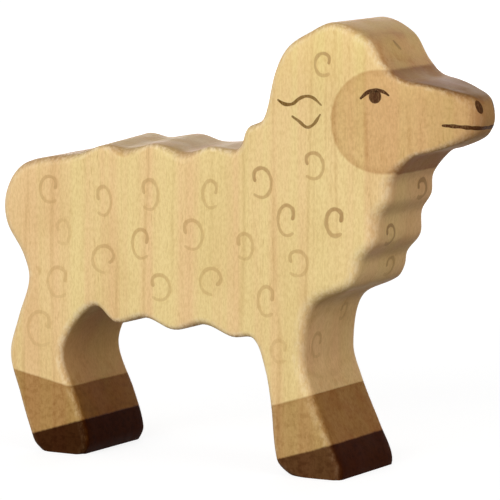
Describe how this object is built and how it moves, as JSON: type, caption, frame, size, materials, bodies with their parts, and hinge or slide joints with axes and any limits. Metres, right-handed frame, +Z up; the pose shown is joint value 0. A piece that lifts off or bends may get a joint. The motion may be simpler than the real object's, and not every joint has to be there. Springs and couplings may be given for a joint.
{
  "type": "carved wooden sheep figurine",
  "caption": "Standing toy sheep sawn from a pale plank, with rippled fleece edges, a tapered head, brown-stained face, legs and hooves, and painted curls, for a shelf or for play.",
  "frame": {"origin": "middle of the figure's box on the floor", "axes": "+X from the tail to the nose, +Y to the sheep's left across the plank, +Z up"},
  "size_m": [0.1126, 0.0252, 0.0959],
  "materials": {
    "pale_maple": "sanded maple with a thin matt oil",
    "tan_stain": "thin tan stain on the wood, matt",
    "sock_stain": "thin mid-brown stain on the wood, matt",
    "hoof_stain": "dark brown stain on the wood, matt",
    "dark_paint": "dark brown brush paint soaked into the wood, matt",
    "ochre_paint": "thin ochre brush paint soaked into the wood, matt"
  },
  "bodies": {
    "root": {"fleece_body": "pale_maple", "face": "tan_stain", "rear_sock": "sock_stain", "front_sock": "sock_stain", "rear_hoof": "hoof_stain", "front_hoof": "hoof_stain", "right_eye": "dark_paint", "left_eye": "dark_paint", "right_nostril": "dark_paint", "left_nostril": "dark_paint", "mouth_line": "dark_paint", "right_ear_outline": "dark_paint", "left_ear_outline": "dark_paint", "right_fleece_curls": "ochre_paint", "left_fleece_curls": "ochre_paint", "chest_curls": "ochre_paint"}
  },
  "joints": []
}
